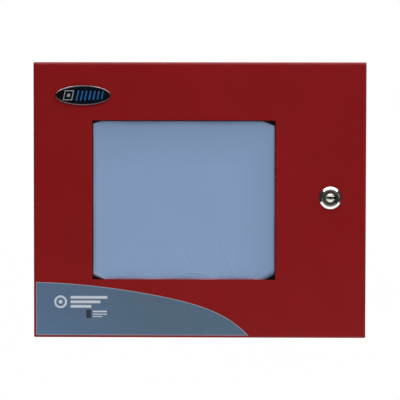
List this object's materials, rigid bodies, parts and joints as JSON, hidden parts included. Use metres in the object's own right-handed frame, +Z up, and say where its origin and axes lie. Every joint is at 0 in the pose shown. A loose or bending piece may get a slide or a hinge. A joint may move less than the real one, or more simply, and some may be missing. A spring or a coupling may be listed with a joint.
{
  "type": "fire alarm control panel",
  "caption": "Wall-mounted red steel cabinet with a hinged, glazed and locked door over a display unit, circuit boards, a power supply and batteries.",
  "frame": {"origin": "middle of the cabinet's flat back face, where it meets the wall", "axes": "+X to the right seen from the front, +Z up, -Y out of the wall towards the viewer"},
  "size_m": [0.33, 0.0982, 0.2736],
  "materials": {
    "red_paint": "satin powder coat",
    "zinc_steel": "zinc plated",
    "steel_sheet": "plain galvanised sheet",
    "chrome": "polished chrome",
    "plug_metal": "dull nickel",
    "panel_dark": "fine matte film on plate",
    "lcd_frame": "black oxide",
    "lcd_screen": "grey-green display",
    "board_green": "solder mask",
    "black_plastic": "moulded",
    "led_red": "clear tinted",
    "led_yellow": "clear tinted",
    "led_green": "clear tinted",
    "terminal_green": "moulded",
    "relay_orange": "moulded",
    "capacitor_sleeve": "shrink sleeve",
    "brass": "plated clip",
    "fuse_glass": "glass tube",
    "heatsink_black": "black anodised",
    "transformer_core": "varnished laminations and tape",
    "ivory_plastic": "moulded",
    "battery_case": "moulded case",
    "ribbon_grey": "flat cable",
    "wire_red": "insulated wire",
    "wire_black": "insulated wire",
    "wire_blue": "insulated wire",
    "wire_earth": "green and yellow insulated wire",
    "key_grey": "moulded button",
    "key_red": "moulded button",
    "foam_black": "foam gasket",
    "lens_clear": "clear sheet",
    "film_blue": "cloudy blue protective film",
    "badge_face": "domed",
    "label_grey": "printed label"
  },
  "bodies": {
    "cabinet": {"backbox": "red_paint", "hinge_leaf_box": "zinc_steel", "hinge_pin": "zinc_steel", "box_nuts": "zinc_steel", "display_bracket": "steel_sheet", "display_panel": "panel_dark", "lcd_bezel": "lcd_frame", "lcd_glass": "lcd_screen", "display_board": "board_green", "leds_red": "led_red", "leds_yellow": "led_yellow", "leds_green": "led_green", "sounder": "black_plastic", "button_switches": "black_plastic", "standoffs": "zinc_steel", "board_screws": "zinc_steel", "plug_sockets": "black_plastic", "ribbon_cable": "ribbon_grey", "main_board": "board_green", "terminal_blocks": "terminal_green", "terminal_screws": "zinc_steel", "board_chips": "black_plastic", "capacitors": "capacitor_sleeve", "relays": "relay_orange", "fuse_holders": "brass", "fuses": "fuse_glass", "heatsink": "heatsink_black", "power_cage": "steel_sheet", "transformer": "transformer_core", "mains_block": "ivory_plastic", "battery_left": "battery_case", "battery_right": "battery_case", "battery_tabs": "zinc_steel", "battery_bracket": "steel_sheet", "lead_red": "wire_red", "lead_black": "wire_black", "lead_link": "wire_blue", "bonding_lead": "wire_earth"},
    "door": {"door_panel": "red_paint", "hinge_leaf_door": "zinc_steel", "door_nuts": "zinc_steel", "window_gasket": "foam_black", "window_lens": "lens_clear", "lens_retainer": "zinc_steel", "protective_film": "film_blue", "badge_bezel": "chrome", "badge_insert": "badge_face", "corner_label": "label_grey", "lock_body": "chrome", "lock_nut": "zinc_steel"},
    "lock": {"lock_plug": "plug_metal", "lock_cam": "zinc_steel", "cam_screw": "zinc_steel"},
    "ack_button": {"ack_button": "key_grey"},
    "silence_button": {"silence_button": "key_grey"},
    "reset_button": {"reset_button": "key_grey"},
    "drill_button": {"drill_button": "key_red"},
    "up_key": {"up_key": "key_grey"},
    "down_key": {"down_key": "key_grey"},
    "enter_key": {"enter_key": "key_grey"}
  },
  "joints": [
    {"name": "door_hinge", "type": "hinge", "parent": "cabinet", "child": "door", "pos_m": [-0.1625, -0.0805, 0], "axis": [0, 0, -1], "range_deg": [0, 110], "deforming": ["bonding_lead"]},
    {"name": "lock_turn", "type": "hinge", "parent": "door", "child": "lock", "pos_m": [0.1294, -0.095, 0.0027], "axis": [0, -1, 0], "range_deg": [0, 90]},
    {"name": "ack_button_press", "type": "slide", "parent": "cabinet", "child": "ack_button", "axis": [0, 1, 0], "range_m": [0, 0.001], "stiffness_N_per_m": 300, "springref_m": -0.002},
    {"name": "silence_button_press", "type": "slide", "parent": "cabinet", "child": "silence_button", "axis": [0, 1, 0], "range_m": [0, 0.001], "stiffness_N_per_m": 300, "springref_m": -0.002},
    {"name": "reset_button_press", "type": "slide", "parent": "cabinet", "child": "reset_button", "axis": [0, 1, 0], "range_m": [0, 0.001], "stiffness_N_per_m": 300, "springref_m": -0.002},
    {"name": "drill_button_press", "type": "slide", "parent": "cabinet", "child": "drill_button", "axis": [0, 1, 0], "range_m": [0, 0.001], "stiffness_N_per_m": 300, "springref_m": -0.002},
    {"name": "up_key_press", "type": "slide", "parent": "cabinet", "child": "up_key", "axis": [0, 1, 0], "range_m": [0, 0.001], "stiffness_N_per_m": 300, "springref_m": -0.002},
    {"name": "down_key_press", "type": "slide", "parent": "cabinet", "child": "down_key", "axis": [0, 1, 0], "range_m": [0, 0.001], "stiffness_N_per_m": 300, "springref_m": -0.002},
    {"name": "enter_key_press", "type": "slide", "parent": "cabinet", "child": "enter_key", "axis": [0, 1, 0], "range_m": [0, 0.001], "stiffness_N_per_m": 300, "springref_m": -0.002}
  ]
}
